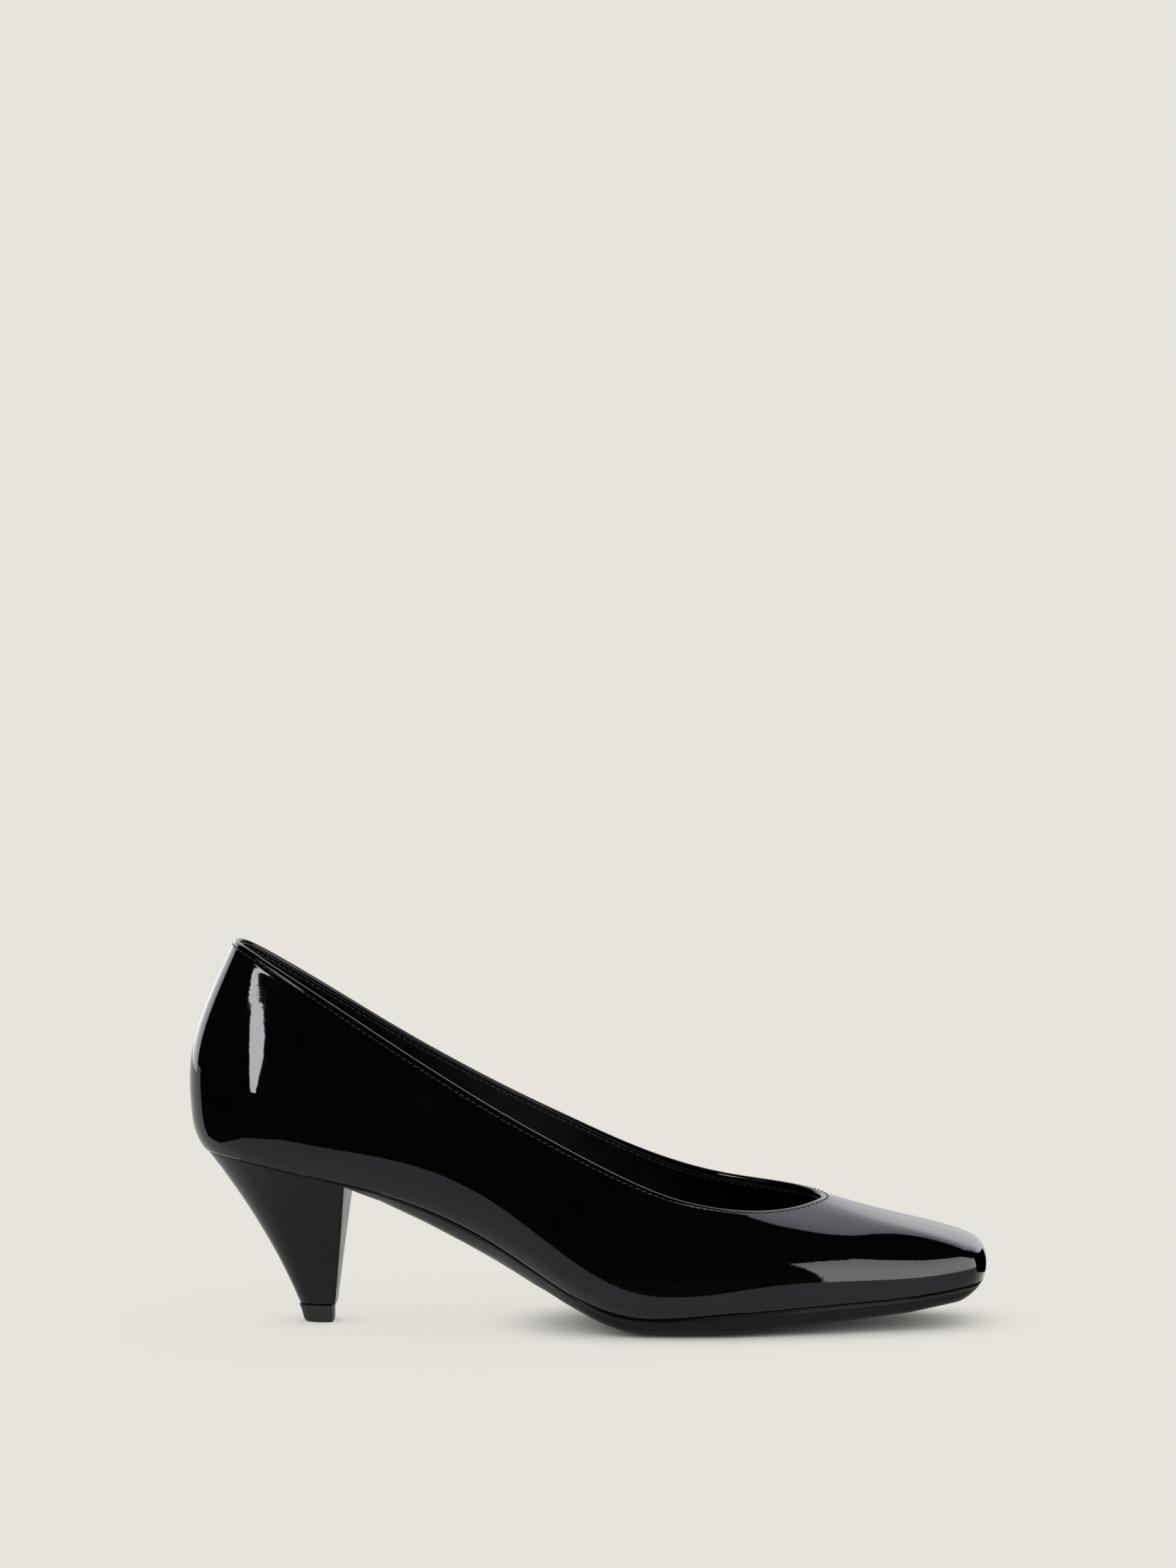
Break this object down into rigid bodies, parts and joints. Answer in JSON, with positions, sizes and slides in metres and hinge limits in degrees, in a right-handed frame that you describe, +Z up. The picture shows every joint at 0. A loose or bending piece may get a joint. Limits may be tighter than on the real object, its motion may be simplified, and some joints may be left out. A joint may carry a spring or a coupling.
{
  "type": "high heel pump",
  "caption": "Right-foot court shoe in black patent leather with a square toe, low-cut topline and a covered conical mid heel.",
  "frame": {"origin": "on the floor, under the middle of the shoe's length and width", "axes": "+X toward the toe, +Y toward the medial (inner) side, +Z up from the floor"},
  "size_m": [0.2474, 0.0787, 0.1197],
  "materials": {
    "patent_leather": "patent, mirror gloss, near black",
    "lining_leather": "satin",
    "fibreboard": "matte fibre",
    "cotton": "woven tape",
    "cellulose_board": "matte board",
    "latex_foam": "matte foam",
    "cork": "matte granules",
    "steel": "plain",
    "sole_leather": "inked, satin",
    "heel_wrap": "satin",
    "abs": "moulded",
    "rubber": "dull",
    "thread": "bonded thread"
  },
  "bodies": {
    "root": {"upper_vamp_and_lateral_quarter": "patent_leather", "upper_medial_quarter": "patent_leather", "vamp_lining": "lining_leather", "quarter_lining": "lining_leather", "sock_lining": "lining_leather", "heel_counter": "fibreboard", "toe_puff": "fibreboard", "lateral_interlining": "cotton", "medial_interlining": "cotton", "topline_tape": "cotton", "topline_thread": "thread", "insole_board": "cellulose_board", "heel_pad": "latex_foam", "bottom_filler": "cork", "shank": "steel", "shank_rivet_1": "steel", "shank_rivet_2": "steel", "outsole": "sole_leather", "heel_core": "abs", "heel_cover": "heel_wrap", "heel_breast_cover": "heel_wrap", "top_piece": "rubber", "top_piece_pin": "steel", "heel_screw": "steel", "heel_nail_1": "steel", "heel_nail_2": "steel", "heel_nail_3": "steel", "heel_nail_4": "steel"}
  },
  "joints": []
}
